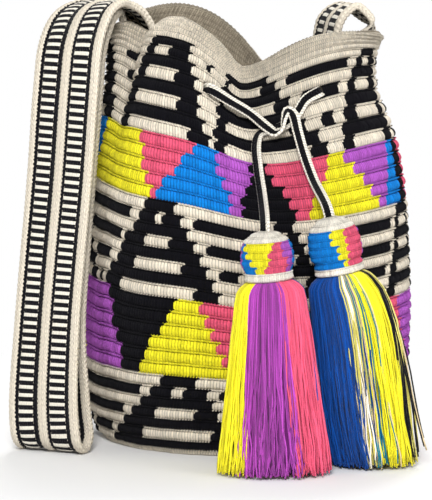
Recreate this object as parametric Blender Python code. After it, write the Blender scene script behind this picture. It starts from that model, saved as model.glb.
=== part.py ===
import math

import bmesh
import bpy
import numpy as np
from mathutils import Vector

for item in list(bpy.data.objects):
    bpy.data.objects.remove(item, do_unlink=True)

# All lengths are in metres. The bag stands on the plane z = 0 and its front faces -Y.
roundCount = 39          # rounds of stitches from the rim down to the base edge
halfRound = 90           # stitches from the front gather to the back gather
bodyDepth = 0.93         # front to back, as a share of side to side
baseDepth = 0.88
ribCrest = 0.0013        # how far each round stands out of the wall
wallThickness = 0.0034
seatGap = 0.0003         # space left between pieces that touch

# Each list gives (round counted from the rim, value).
bodyWidth = [(0, 0.0915), (4, 0.0905), (6, 0.0900), (8, 0.0910), (10, 0.0955), (12, 0.0990), (14, 0.1020),
             (17, 0.1050), (21, 0.1065), (28, 0.1080), (32, 0.1070), (36, 0.1035), (38, 0.0990), (39, 0.0940)]
bodyShift = [(0, 0.0), (5, -0.0040), (8, -0.0045), (12, 0.0), (16, 0.0012), (30, 0.0015), (39, 0.0)]
bodyHeight = [(0, 0.2885), (4, 0.2760), (12, 0.2134), (17, 0.1720), (25, 0.1070), (31, 0.0580),
              (36, 0.0190), (38, 0.0045), (39, 0.0)]
frontAngle = [(0, -4.0), (12, 5.0), (20, 9.0), (39, 9.0)]
frontDepth = [(0, 0.0400), (6, 0.0290), (12, 0.0140), (18, 0.0060), (26, 0.0010), (32, 0.0), (39, 0.0)]
frontSag = [(0, 0.0290), (4, 0.0280), (12, 0.0170), (17, 0.0120), (25, 0.0070), (31, 0.0030), (36, 0.0), (39, 0.0)]
frontSpread = [(0, 14.0), (6, 18.0), (12, 26.0), (39, 30.0)]
backSag = [(0, 0.0440), (6, 0.0300), (12, 0.0110), (18, 0.0020), (24, 0.0), (39, 0.0)]
backDepth = [(0, 0.0160), (6, 0.0110), (12, 0.0050), (18, 0.0010), (24, 0.0), (39, 0.0)]
rightDrop = [(0, 0.0130), (4, 0.0105), (12, 0.0080), (17, 0.0080), (25, 0.0050), (31, 0.0), (39, 0.0)]
sideCrease = [(0, 0.0120), (4, 0.0100), (10, 0.0050), (16, 0.0), (39, 0.0)]
strapDip = [(0, 0.0130), (4, 0.0100), (10, 0.0045), (16, 0.0), (39, 0.0)]
rimLean = [(0, 1.0), (2, 0.55), (4, 0.2), (6, 0.0), (39, 0.0)]

backAngle = 164.0
eyeletRound = 7
eyeletStitches = [-9.0, 19.0, 55.0, 73.0, -68.0, -50.0]
eyeletReach = 1.2       # half an eyelet's width, in stitches
cordRadius = 0.0023
strapHalfWidth = 0.026
strapHalfThickness = 0.0021
seamRadius = 0.0014

# The strap's centre line from the left seam to the right one: x, y, z, heading of its width, share of its width.
strapRoute = [(-0.0812, -0.0030, 0.2785, -90.0, 0.77), (-0.0862, -0.0032, 0.2880, -86.0, 0.78),
              (-0.0950, -0.0060, 0.2890, -68.0, 0.88), (-0.1055, -0.0165, 0.2845, -45.0, 1.0), (-0.1150, -0.0270, 0.2660, -31.0, 1.0),
              (-0.1185, -0.0320, 0.2350, -28.0, 1.0), (-0.1255, -0.0390, 0.1500, -28.0, 1.0),
              (-0.1300, -0.0480, 0.0800, -28.0, 1.0), (-0.1275, -0.0500, 0.0290, -26.0, 1.0),
              (-0.1262, -0.0540, 0.0085, -25.0, 1.0), (-0.1290, -0.0640, 0.0031, -25.0, 1.0),
              (-0.1325, -0.0730, 0.0085, -25.0, 1.0), (-0.1345, -0.0735, 0.0290, -26.0, 1.0),
              (-0.1325, -0.0680, 0.0800, -27.0, 1.0), (-0.1290, -0.0620, 0.1250, -28.0, 1.0),
              (-0.1240, -0.0580, 0.1800, -28.0, 1.0), (-0.1195, -0.0560, 0.2400, -28.0, 1.0),
              (-0.1160, -0.0515, 0.2700, -30.0, 1.0), (-0.1080, -0.0360, 0.2890, -42.0, 1.0),
              (-0.0955, -0.0190, 0.2945, -60.0, 1.0), (-0.0780, -0.0085, 0.2895, -72.0, 1.0),
              (-0.0610, -0.0010, 0.2660, -82.0, 1.0), (-0.0410, 0.0050, 0.2300, -90.0, 1.0),
              (-0.0070, 0.0060, 0.2060, -92.0, 1.0), (0.0260, 0.0010, 0.2120, -86.0, 1.0),
              (0.0455, 0.0, 0.2400, -80.0, 1.0), (0.0525, 0.0, 0.2670, -76.0, 1.0),
              (0.0575, 0.0005, 0.2850, -75.0, 1.0), (0.0690, 0.0025, 0.2925, -78.0, 0.97),
              (0.0800, 0.0040, 0.2850, -84.0, 0.92)]


def smooth(keys, at):
    xs = np.array([key[0] for key in keys], dtype=float)
    ys = np.array([key[1:] for key in keys], dtype=float)
    slopes = np.gradient(ys, xs, axis=0)
    at = np.clip(np.asarray(at, dtype=float), xs[0], xs[-1])
    left = np.clip(np.searchsorted(xs, at, side="right") - 1, 0, len(xs) - 2)
    span = xs[left + 1] - xs[left]
    t = ((at - xs[left]) / span)[..., None]
    span = span[..., None]
    value = (ys[left] * (2 * t ** 3 - 3 * t ** 2 + 1) + slopes[left] * span * (t ** 3 - 2 * t ** 2 + t)
             + ys[left + 1] * (3 * t ** 2 - 2 * t ** 3) + slopes[left + 1] * span * (t ** 3 - t ** 2))
    return value[..., 0] if ys.shape[1] == 1 else value


def bump(angle, centre, leftSpread, rightSpread):
    away = (angle - centre + 180.0) % 360.0 - 180.0
    return np.exp(-(away / np.where(away < 0, leftSpread, rightSpread)) ** 2)


def wallPoint(angle, row):
    """Point on the wall's mean surface at a compass angle (0 at the front, 90 at the right)."""
    turn = np.radians(angle)
    width = smooth(bodyWidth, row)
    depth = width * (bodyDepth + (baseDepth - bodyDepth) * np.clip((row - 20) / 19, 0, 1))
    front = smooth(frontAngle, row)
    spread = smooth(frontSpread, row)
    inward = smooth(frontDepth, row) * bump(angle, front, spread, spread + 10)
    inward = inward + smooth(backDepth, row) * bump(angle, 160, 30, 24)
    inward = inward + smooth(sideCrease, row) * bump(angle, -58, 8, 9)
    lean = 0.019 * bump(angle, -38, 20, 13) + 0.012 * bump(angle, 36, 20, 30) + 0.006 * bump(angle, -140, 40, 30)
    inward = inward + lean * smooth(rimLean, row)
    height = smooth(bodyHeight, row)
    sag = smooth(frontSag, row) * bump(angle, front, spread * 0.95, spread * 0.6 + 20)
    sag = sag + smooth(backSag, row) * bump(angle, 155, 40, 27)
    sag = sag + smooth(rightDrop, row) * (0.5 + 0.5 * np.sin(turn))
    sag = sag + smooth(sideCrease, row) * 0.9 * bump(angle, -58, 7, 8)
    sag = sag + smooth(strapDip, row) * bump(angle, -90, 21, 21) - 0.008 * smooth(rimLean, row) * bump(angle, -150, 34, 26)
    x = smooth(bodyShift, row) + (width - inward) * np.sin(turn)
    y = (inward - depth) * np.cos(turn)
    return np.stack([x, y, np.maximum(height - sag, 0.0) + 0.0 * turn], axis=-1)


def wallRound(row, stitches):
    """Points of one round at even steps of thread: stitch 0 is in the front gather, +-90 in the back one."""
    front = float(smooth(frontAngle, row))
    result = np.zeros((len(stitches), 3))
    wrapped = (np.asarray(stitches, dtype=float) + halfRound) % (2 * halfRound) - halfRound
    for side, far in ((1, backAngle), (-1, backAngle - 360.0)):
        angles = np.linspace(front, far, 400)
        line = wallPoint(angles, np.full(400, float(row)))
        steps = np.linalg.norm(np.diff(line, axis=0), axis=1)
        along = np.concatenate([[0.0], np.cumsum(steps)])
        pick = wrapped >= 0 if side > 0 else wrapped < 0
        want = np.abs(wrapped[pick]) / halfRound * along[-1]
        for axis in range(3):
            result[pick, axis] = np.interp(want, along, line[:, axis])
    return result


def wallGrid(rows, stitches):
    points = np.array([wallRound(row, stitches) for row in rows])
    step = 0.4
    down = np.array([wallRound(min(row + step, roundCount), stitches) - wallRound(max(row - step, 0), stitches)
                     for row in rows])
    side = np.array([wallRound(row, np.array(stitches) + step) - wallRound(row, np.array(stitches) - step)
                     for row in rows])
    normals = np.cross(side, -down)
    normals = normals / np.linalg.norm(normals, axis=2, keepdims=True)
    return points, normals


def wallSpot(stitch, row, lift):
    points, normals = wallGrid([row], [stitch])
    return points[0, 0] + normals[0, 0] * lift


def makeMaterial(name, colour, roughness, metallic=0.0):
    material = bpy.data.materials.new(name)
    material.use_nodes = True
    shader = material.node_tree.nodes["Principled BSDF"]
    shader.inputs["Base Color"].default_value = (*colour, 1.0)
    shader.inputs["Roughness"].default_value = roughness
    shader.inputs["Metallic"].default_value = metallic
    material.diffuse_color = (*colour, 1.0)
    return material


def addObject(name, bm, material):
    bmesh.ops.recalc_face_normals(bm, faces=bm.faces)
    mesh = bpy.data.meshes.new(name)
    bm.to_mesh(mesh)
    bm.free()
    result = bpy.data.objects.new(name, mesh)
    bpy.context.collection.objects.link(result)
    mesh.materials.append(material)
    return result


def gridSheet(points, closeAcross):
    """A grid of quads laid through points[row][column], welded into a tube when closeAcross is set."""
    rowCount, columnCount = points.shape[:2]
    if closeAcross:
        points = np.concatenate([points, points[:, :1]], axis=1)
        columnCount += 1
    bm = bmesh.new()
    bmesh.ops.create_grid(bm, x_segments=columnCount - 1, y_segments=rowCount - 1, size=1.0)
    for vertex in bm.verts:
        column = round((vertex.co.x + 1) / 2 * (columnCount - 1))
        row = round((vertex.co.y + 1) / 2 * (rowCount - 1))
        vertex.co = Vector(points[row, column])
    if closeAcross:
        bmesh.ops.remove_doubles(bm, verts=bm.verts, dist=0.00002)
    return bm


def closeEnds(bm):
    edges = [edge for edge in bm.edges if len(edge.link_faces) == 1]
    bmesh.ops.holes_fill(bm, edges=edges, sides=0)


def bodyColumns():
    """Stitch numbers of the grid's columns: close beside each eyelet, even between them."""
    centres = sorted(eyeletStitches)
    columns = []
    for index, centre in enumerate(centres):
        following = centres[(index + 1) % len(centres)]
        if following <= centre:
            following += 2 * halfRound
        start = centre + eyeletReach
        stop = following - eyeletReach
        count = max(1, round((stop - start) / 4.2))
        columns += [start + (stop - start) * step / count for step in range(count + 1)]
    return columns


def bagBody():
    columns = bodyColumns()
    outerRows = [half / 2 for half in range(2 * roundCount + 1)]
    outer, outward = wallGrid(outerRows, columns)
    lift = np.array([ribCrest if half % 2 else 0.0 for half in range(2 * roundCount + 1)])
    lift[-2:] = 0.0
    outer = outer + outward * lift[:, None, None]
    innerRows = [0, 2, 4, 6, 7, 7.5, 8, 10, 13, 17, 22, 28, 34, 37]
    inner, inwardFrom = wallGrid(innerRows, columns)
    inner = inner - inwardFrom * wallThickness
    inner[:, :, 2] = np.maximum(inner[:, :, 2], wallThickness + 0.001)
    rimTop = (outer[0] + inner[0]) / 2 + np.array([0, 0, 0.0012])
    edge = outer[-1]
    middle = np.array([0.0, 0.0, 0.0])
    baseRings = [middle + (edge - middle) * share for share in (0.1, 0.4, 0.7, 0.9)]
    floorEdge = inner[-1] * np.array([1, 1, 0]) + np.array([0, 0, wallThickness])
    floorRings = [floorEdge * np.array([share, share, 1]) for share in (0.93, 0.5, 0.12)]
    sheet = np.concatenate([np.array(baseRings), outer[::-1], rimTop[None], inner, np.array(floorRings)])
    bm = gridSheet(sheet, True)
    bm.verts.ensure_lookup_table()
    closeEnds(bm)
    bm.faces.ensure_lookup_table()
    for stitch in eyeletStitches:
        cutEyelet(bm, stitch)
    return addObject("bag_body", bm, makeMaterial("bag_body", (0.72, 0.66, 0.54), 0.95))


def cutEyelet(bm, stitch):
    """Opens one eyelet: takes two faces from each skin and joins the two rims."""
    taken = set()
    for row in (eyeletRound + 0.25, eyeletRound + 0.75):
        for lift in (ribCrest / 2, -wallThickness):
            spot = Vector(wallSpot(stitch, row, lift))
            taken.add(min(bm.faces, key=lambda face: (face.calc_center_median() - spot).length))
    edges = [edge for edge in bm.edges if sum(face in taken for face in edge.link_faces) == 1]
    bmesh.ops.delete(bm, geom=list(taken), context="FACES")
    bmesh.ops.bridge_loops(bm, edges=[edge for edge in edges if edge.is_valid])


def curveLine(route, spacing, sharpness):
    """Points on a smooth curve through the route, closer together in bends; extra columns are carried along."""
    route = np.array(route, dtype=float)
    steps = np.linalg.norm(np.diff(route[:, :3], axis=0), axis=1)
    along = np.concatenate([[0.0], np.cumsum(np.sqrt(steps))])
    keys = [tuple([along[index]] + list(route[index])) for index in range(len(route))]
    dense = smooth(keys, np.linspace(0, along[-1], len(route) * 60))
    steps = np.linalg.norm(np.diff(dense[:, :3], axis=0), axis=1)
    heading = np.diff(dense[:, :3], axis=0) / steps[:, None]
    turning = np.concatenate([[0.0], np.linalg.norm(np.diff(heading, axis=0), axis=1) / steps[1:]])
    turning = np.convolve(np.pad(turning, 15, mode="edge"), np.ones(31) / 31, mode="valid")
    run = np.concatenate([[0.0], np.cumsum(steps * (1 + sharpness * turning))])
    count = max(2, round(run[-1] / spacing))
    want = np.linspace(0, run[-1], count + 1)
    line = np.stack([np.interp(want, run, dense[:, column]) for column in range(dense.shape[1])], axis=1)
    return line, steps.sum()


def strapFrames(line):
    tangent = np.gradient(line[:, :3], axis=0)
    tangent = tangent / np.linalg.norm(tangent, axis=1, keepdims=True)
    heading = np.radians(line[:, 3])
    width = np.stack([np.cos(heading), np.sin(heading), 0 * heading], axis=1)
    width = width - tangent * np.sum(width * tangent, axis=1, keepdims=True)
    width = width / np.linalg.norm(width, axis=1, keepdims=True)
    return tangent, width, np.cross(width, tangent)


def strapSection():
    """The strap's section, once round: place across the width and height above the middle."""
    half = strapHalfWidth
    top = [(-half, 0.0), (-half + 0.0034, 1.15), (-half + 0.0072, 0.72), (-0.0120, 0.80), (-0.0050, 0.72),
           (0.0, 0.95), (0.0050, 0.72), (0.0120, 0.80), (half - 0.0072, 0.72), (half - 0.0034, 1.15), (half, 0.0)]
    return top + [(top[index][0], -top[index][1]) for index in (9, 8, 5, 2, 1)]


def seamStitch(side):
    return 42.5 if side > 0 else -44.6


def strapEnd(side, section):
    """Rings of a sewn end, lying against the bag's inner wall just below the rim."""
    rings = []
    for row, share in ((5.4, 0.76), (4.0, 0.76), (2.6, 0.76), (1.2, 0.77)):
        ring = []
        for place, height in section:
            stitch = seamStitch(side) - side * place * share / 0.0037
            ring.append(wallSpot(stitch, row, height * strapHalfThickness - wallThickness - seatGap - 0.0033))
        rings.append(ring)
    return np.array(rings)


def shoulderStrap():
    line, length = curveLine(strapRoute, 0.0200, 0.020)
    tangent, width, face = strapFrames(line)
    section = strapSection()
    rings = []
    for station in range(len(line)):
        ring = []
        for place, height in section:
            across = width[station] * place * line[station, 4]
            ring.append(line[station, :3] + across + face[station] * height * strapHalfThickness)
        rings.append(ring)
    rings = np.concatenate([strapEnd(-1, section), np.array(rings), strapEnd(1, section)[::-1]])
    bm = gridSheet(rings, True)
    closeEnds(bm)
    print("strap length", round(length + 0.08, 3), "stations", len(rings))
    return addObject("shoulder_strap", bm, makeMaterial("shoulder_strap", (0.78, 0.73, 0.62), 0.9))


def strapSeam(side, name):
    """Overcast yarn along the sewn end, on its inner face."""
    lift = -(wallThickness + 2 * seatGap + 0.0033 + strapHalfThickness * 1.15 + seamRadius)
    points = []
    for step in range(23):
        stitch = seamStitch(side) + (step / 22 - 0.5) * 10.0
        points.append(wallSpot(stitch, 4.6 + 0.45 * (-1) ** step, lift - 0.0004))
    tube(name, points, seamRadius, makeMaterial(name, (0.72, 0.66, 0.54), 0.95))


def onFront(x, z, lift):
    """A point in front of the bag's face at x and z, lift away from the crests of the rounds."""
    near = np.argmin((frontPoints[:, 0] - x) ** 2 + (frontPoints[:, 2] - z) ** 2)
    return (x, frontPoints[near, 1] - ribCrest - lift, z)


def drawstringRoute():
    """From the left tassel up through the half knot, round the bag in and out, and down to the right tassel."""
    behind = seatGap + cordRadius + 0.0014
    before = behind + 2 * cordRadius + 2 * seatGap
    top = np.array(tasselTop["left"])
    points = [tuple(top + np.array([0, 0, -0.006])), tuple(top + np.array([0, 0, 0.004]))]
    points += [onFront(0.0088, 0.172, behind + 0.006), onFront(0.0062, 0.190, behind + 0.002)]
    points += [onFront(x, z, behind) for x, z in ((0.0052, 0.204), (0.0075, 0.2105), (0.0150, 0.2135),
                                                  (0.0235, 0.2165), (0.0310, 0.2235), (0.0375, 0.2330))]
    centre = eyeletRound + 0.5
    points += throughEyelet(eyeletStitches[1], -1)
    points += [tuple(wallSpot(stitch, centre, insideLift)) for stitch in (24, 29, 34, 39, 44, 50)]
    points += throughEyelet(eyeletStitches[2], 1)
    points += [tuple(wallSpot(stitch, centre, outsideLift)) for stitch in (60, 64, 68)]
    points += throughEyelet(eyeletStitches[3], -1)
    points += [tuple(wallSpot(stitch, centre, insideLift)) for stitch in (78, 83, 88, 93, 98, 102.5, 107)]
    points += throughEyelet(eyeletStitches[4], 1)
    points += [tuple(wallSpot(stitch, centre, outsideLift)) for stitch in (-63, -59, -55)]
    points += throughEyelet(eyeletStitches[5], -1)
    points += [tuple(wallSpot(stitch, centre, insideLift - 0.0012)) for stitch in (-45, -40, -35, -30, -25, -20, -14)]
    points += throughEyelet(eyeletStitches[0], 1)
    points += [onFront(x, z, before - more) for x, z, more in (
        (-0.0120, 0.2320, 0.0), (0.0010, 0.2240, 0.0), (0.0125, 0.2150, 0.0), (0.0175, 0.2118, 0.0),
        (0.0218, 0.2140, 0.0), (0.0232, 0.2205, 0.0), (0.0252, 0.2262, 0.0), (0.0288, 0.2240, 0.0),
        (0.0318, 0.2130, 0.001), (0.0360, 0.1980, 0.002))]
    top = np.array(tasselTop["right"])
    points += [onFront(0.0415, 0.183, behind + 0.005), tuple(top + np.array([-0.0012, 0, 0.005])),
               tuple(top + np.array([0.0012, 0, -0.006]))]
    return points


def throughEyelet(stitch, way):
    """Three points through an eyelet: way -1 goes in, +1 comes out."""
    centre = eyeletRound + 0.5
    lifts = [outsideLift * 0.8, -wallThickness / 2, insideLift * 0.9]
    if way > 0:
        lifts.reverse()
    return [tuple(wallSpot(stitch, centre, lift)) for lift in lifts]


def tasselAxes(side):
    lean = math.radians(tasselLean[side])
    down = np.array([math.sin(lean), 0.0, -math.cos(lean)])
    across = np.array([math.cos(lean), 0.0, math.sin(lean)])
    return across, np.array([0.0, -1.0, 0.0]), down


def turned(side, profile, count, closed):
    """Rings of a profile (radius, distance below the cap's top) turned about the tassel's own axis."""
    across, fore, down = tasselAxes(side)
    top = np.array(tasselTop[side])
    rings = []
    for radius, drop in profile + (profile[:1] if closed else []):
        ring = []
        for step in range(count):
            turn = 2 * math.pi * step / count
            ring.append(top + radius * (math.cos(turn) * across + math.sin(turn) * fore) + drop * down)
        rings.append(ring)
    return np.array(rings)


def tasselCap(side):
    profile = [(0.0032, 0.0), (0.0072, 0.0012), (0.0104, 0.0036), (0.0138, 0.0056), (0.0148, 0.0084),
               (0.0168, 0.0108), (0.0163, 0.0136), (0.0177, 0.0163), (0.0168, 0.0191), (0.0178, 0.0218),
               (0.0165, 0.0246), (0.0171, 0.0272), (0.0150, 0.0298), (0.0161, 0.0316), (0.0161, 0.0334),
               (0.0151, 0.0346), (0.0160, 0.0360), (0.0154, 0.0378), (0.0127, 0.0378), (0.0127, 0.0300),
               (0.0138, 0.0235), (0.0137, 0.0140), (0.0100, 0.0072), (0.0032, 0.0030)]
    bm = gridSheet(turned(side, profile, 18, True), True)
    bmesh.ops.remove_doubles(bm, verts=bm.verts, dist=0.00002)
    name = "tassel_cap_" + side
    return addObject(name, bm, makeMaterial(name, (0.86, 0.78, 0.16), 0.95))


def tasselBinding(side):
    profile = [(0.0110, 0.0308), (0.0119, 0.0308), (0.0123, 0.0338), (0.0119, 0.0368), (0.0110, 0.0368)]
    bm = gridSheet(turned(side, profile, 16, True), True)
    bmesh.ops.remove_doubles(bm, verts=bm.verts, dist=0.00002)
    name = "tassel_binding_" + side
    return addObject(name, bm, makeMaterial(name, (0.72, 0.66, 0.54), 0.95))


def tasselYarn(side):
    """One bundle of yarn: its folded head inside the cap, the bound neck, and the loose skirt below."""
    count = 36
    head = [(0.0030, 0.0098), (0.0090, 0.0104), (0.0128, 0.0155), (0.0129, 0.0235), (0.0107, 0.0300),
            (0.0107, 0.0378)]
    rings = list(turned(side, head, count, False))
    across, fore, down = tasselAxes(side)
    start = np.array(tasselTop[side])
    foot = np.array(tasselFoot[side])
    shoulder = [(0.0384, 0.0150), (0.0410, 0.0195), (0.0460, 0.0220)]
    neck = start + down * 0.0460
    skirt = [(0.15, 0.16), (0.38, 0.40), (0.65, 0.66), (1.0, 1.0)]
    wide, deep = tasselSpread[side]
    places = [(start + down * drop, radius, radius, 0.0) for drop, radius in shoulder]
    places += [(neck + (foot - neck) * share, 0.0220 + (wide - 0.0220) * grown,
                0.0220 + (deep - 0.0220) * grown, share) for share, grown in skirt]
    for centre, reachX, reachY, share in places:
        level = across * (1 - share) + np.array([1.0, 0.0, 0.0]) * share
        level = level / np.linalg.norm(level)
        ring = []
        for step in range(count):
            turn = 2 * math.pi * step / count
            ridge = 1 + (0.0007 / reachY) * (-1) ** step
            ring.append(centre + ridge * (reachX * math.cos(turn) * level + reachY * math.sin(turn) * fore))
        rings.append(ring)
    bm = gridSheet(np.array(rings), True)
    closeEnds(bm)
    name = "tassel_yarn_" + side
    colour = (0.55, 0.20, 0.58) if side == "left" else (0.06, 0.30, 0.66)
    return addObject(name, bm, makeMaterial(name, colour, 0.8))


def tube(name, points, radius, material, resolution=2):
    curve = bpy.data.curves.new(name, "CURVE")
    curve.dimensions = "3D"
    curve.bevel_depth = radius
    curve.bevel_resolution = resolution
    curve.use_fill_caps = True
    spline = curve.splines.new("POLY")
    spline.points.add(len(points) - 1)
    for index, point in enumerate(points):
        spline.points[index].co = (*point, 1.0)
    curve.materials.append(material)
    result = bpy.data.objects.new(name, curve)
    bpy.context.collection.objects.link(result)
    return result


tasselTop = {"left": (0.0100, -0.1245, 0.1535), "right": (0.0495, -0.1175, 0.1620)}
tasselFoot = {"left": (0.0158, -0.1440, 0.0008), "right": (0.0800, -0.1130, 0.0008)}
tasselLean = {"left": 5.0, "right": 11.0}
tasselSpread = {"left": (0.0352, 0.0240), "right": (0.0270, 0.0230)}
outsideLift = ribCrest + seatGap + cordRadius + 0.0008
insideLift = -(wallThickness + seatGap + cordRadius + 0.0014)
frontPoints = wallGrid(np.linspace(0, 36, 109), np.linspace(-45, 45, 181))[0].reshape(-1, 3)

bagBody()
shoulderStrap()
strapSeam(-1, "strap_seam_left")
strapSeam(1, "strap_seam_right")
stringLine, stringLength = curveLine(drawstringRoute(), 0.0165, 0.009)
print("drawstring length", round(stringLength, 3), "points", len(stringLine))
tube("drawstring", stringLine, cordRadius, makeMaterial("drawstring", (0.05, 0.05, 0.06), 0.85))
for hand in ("left", "right"):
    tasselCap(hand)
    tasselBinding(hand)
    tasselYarn(hand)
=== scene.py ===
import math

import bmesh
import bpy
import numpy as np
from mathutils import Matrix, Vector


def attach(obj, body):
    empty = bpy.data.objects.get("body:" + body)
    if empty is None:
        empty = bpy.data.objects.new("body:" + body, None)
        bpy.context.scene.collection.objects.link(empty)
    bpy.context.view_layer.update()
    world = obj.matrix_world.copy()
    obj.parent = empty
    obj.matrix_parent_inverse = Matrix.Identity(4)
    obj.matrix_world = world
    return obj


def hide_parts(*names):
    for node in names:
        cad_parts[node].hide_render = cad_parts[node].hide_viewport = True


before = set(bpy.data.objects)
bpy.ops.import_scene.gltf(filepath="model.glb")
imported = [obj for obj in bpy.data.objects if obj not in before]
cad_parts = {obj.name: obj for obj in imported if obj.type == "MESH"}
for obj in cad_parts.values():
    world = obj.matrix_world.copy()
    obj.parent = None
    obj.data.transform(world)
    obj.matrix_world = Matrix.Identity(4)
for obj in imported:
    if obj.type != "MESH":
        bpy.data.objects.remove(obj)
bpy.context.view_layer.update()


# camera and lamps

view = {"place": (-0.021, -1.8, 0.32), "pitch": 6.12, "lens": 191.45, "near": 0.05, "far": 50}


def addObject(name, data):
    made = bpy.data.objects.new(name, data)
    bpy.context.collection.objects.link(made)
    return made


def addCamera():
    data = bpy.data.cameras.new("camera")
    data.lens = view["lens"]
    data.clip_start = view["near"]
    data.clip_end = view["far"]
    camera = addObject("camera", data)
    camera.location = view["place"]
    camera.rotation_euler = (math.radians(90 - view["pitch"]), 0, 0)
    bpy.context.scene.camera = camera


def addLamp(name, place, aim, size, power):
    data = bpy.data.lights.new(name, "AREA")
    data.shape = "DISK"
    data.size = size
    data.energy = power
    lamp = addObject(name, data)
    lamp.location = place
    lamp.rotation_euler = (Vector(aim) - Vector(place)).to_track_quat("-Z", "Y").to_euler()


# shader maths

class Wire:
    def __init__(self, kit, socket):
        self.kit = kit
        self.socket = socket

    def __add__(self, other):
        return self.kit.maths("ADD", self, other)

    def __sub__(self, other):
        return self.kit.maths("SUBTRACT", self, other)

    def __rsub__(self, other):
        return self.kit.maths("SUBTRACT", other, self)

    def __mul__(self, other):
        return self.kit.maths("MULTIPLY", self, other)

    def __lt__(self, other):
        return self.kit.maths("LESS_THAN", self, other)

    def __abs__(self):
        return self.kit.maths("ABSOLUTE", self)

    __radd__ = __add__
    __rmul__ = __mul__


class Kit:
    def __init__(self, name):
        self.material = bpy.data.materials.new(name)
        self.material.use_nodes = True
        self.nodes = self.material.node_tree.nodes
        self.links = self.material.node_tree.links
        self.nodes.clear()

    def node(self, kind, settings=None, inputs=None, out=0):
        made = self.nodes.new(kind)
        for key, value in (settings or {}).items():
            setattr(made, key, value)
        for key, value in (inputs or {}).items():
            if isinstance(value, Wire):
                self.links.new(value.socket, made.inputs[key])
            else:
                socket = made.inputs[key]
                socket.default_value = (*value, 1) if socket.type == "RGBA" and len(value) == 3 else value
        return Wire(self, made.outputs[out]) if len(made.outputs) else None

    def maths(self, kind, first, second=0.0, third=0.0):
        return self.node("ShaderNodeMath", {"operation": kind}, {0: first, 1: second, 2: third})

    def blend(self, low, high, share):
        return self.node("ShaderNodeMix", {"data_type": "RGBA"}, {0: share, 6: low, 7: high}, 2)

    def scaled(self, colour, amount):
        return self.node("ShaderNodeVectorMath", {"operation": "SCALE"}, {0: colour, 3: amount})

    def soft(self, value, low, high):
        return self.node("ShaderNodeMapRange", {"interpolation_type": "SMOOTHSTEP"},
                         {0: value, 1: low, 2: high})

    def wave(self, value):
        return self.maths("SINE", value * (2 * math.pi))

    def fract(self, value):
        return self.maths("FRACT", value)

    def within(self, value, spans):
        # 1 inside the spans, each given by its middle and half its width
        return sum(self.maths("COMPARE", value, *span) for span in spans)

    def noise(self, vector, scale, detail=2.0):
        return self.node("ShaderNodeTexNoise", {"noise_dimensions": "3D"},
                         {"Vector": vector, "Scale": scale, "Detail": detail})

    def stretched(self, vector, x, y, z):
        return self.node("ShaderNodeVectorMath", {"operation": "MULTIPLY"}, {0: vector, 1: (x, y, z)})

    def grain(self, vector, x, y, detail):
        return self.noise(self.stretched(vector, x, y, 1), 1, detail)

    def attribute(self, name):
        return self.node("ShaderNodeAttribute", {"attribute_name": name})

    def here(self):
        return self.node("ShaderNodeTexCoord", None, None, 3)

    def mapped(self, name):
        place = self.node("ShaderNodeUVMap", {"uv_map": name})
        split = self.node("ShaderNodeSeparateXYZ", None, {0: place})
        return place, split, Wire(self, split.socket.node.outputs[1])

    def cloth(self, colour, height, roughness=0.9, bump=0.0006, sheen=0.12):
        normal = self.node("ShaderNodeBump", None, {"Strength": 1.0, "Distance": bump, "Height": height})
        shader = self.node("ShaderNodeBsdfPrincipled", None,
                           {"Base Color": colour, "Roughness": roughness, "Sheen Weight": sheen,
                            "Sheen Roughness": 0.5, "Specular IOR Level": 0.08, "Normal": normal})
        self.node("ShaderNodeOutputMaterial", None, {"Surface": shader})
        return self.material


def linear(colour):
    # from sRGB, as the yarns are given below
    return tuple(part / 12.92 if part <= 0.04045 else ((part + 0.055) / 1.055) ** 2.4 for part in colour)


yarns = {name: linear(colour) for name, colour in {
    "cream": (0.88, 0.84, 0.77), "black": (0.045, 0.042, 0.065), "yellow": (0.93, 0.89, 0.17),
    "pink": (0.88, 0.35, 0.47), "blue": (0.06, 0.49, 0.82), "purple": (0.68, 0.35, 0.74),
    "white": (0.95, 0.925, 0.87), "royal": (0.02, 0.28, 0.6), "plum": (0.68, 0.28, 0.68),
    "teal": (0.06, 0.48, 0.56), "beige": (0.84, 0.76, 0.6), "straw": (0.86, 0.82, 0.42)}.items()}


# the bag's wall, in the same terms as its solid

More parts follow.
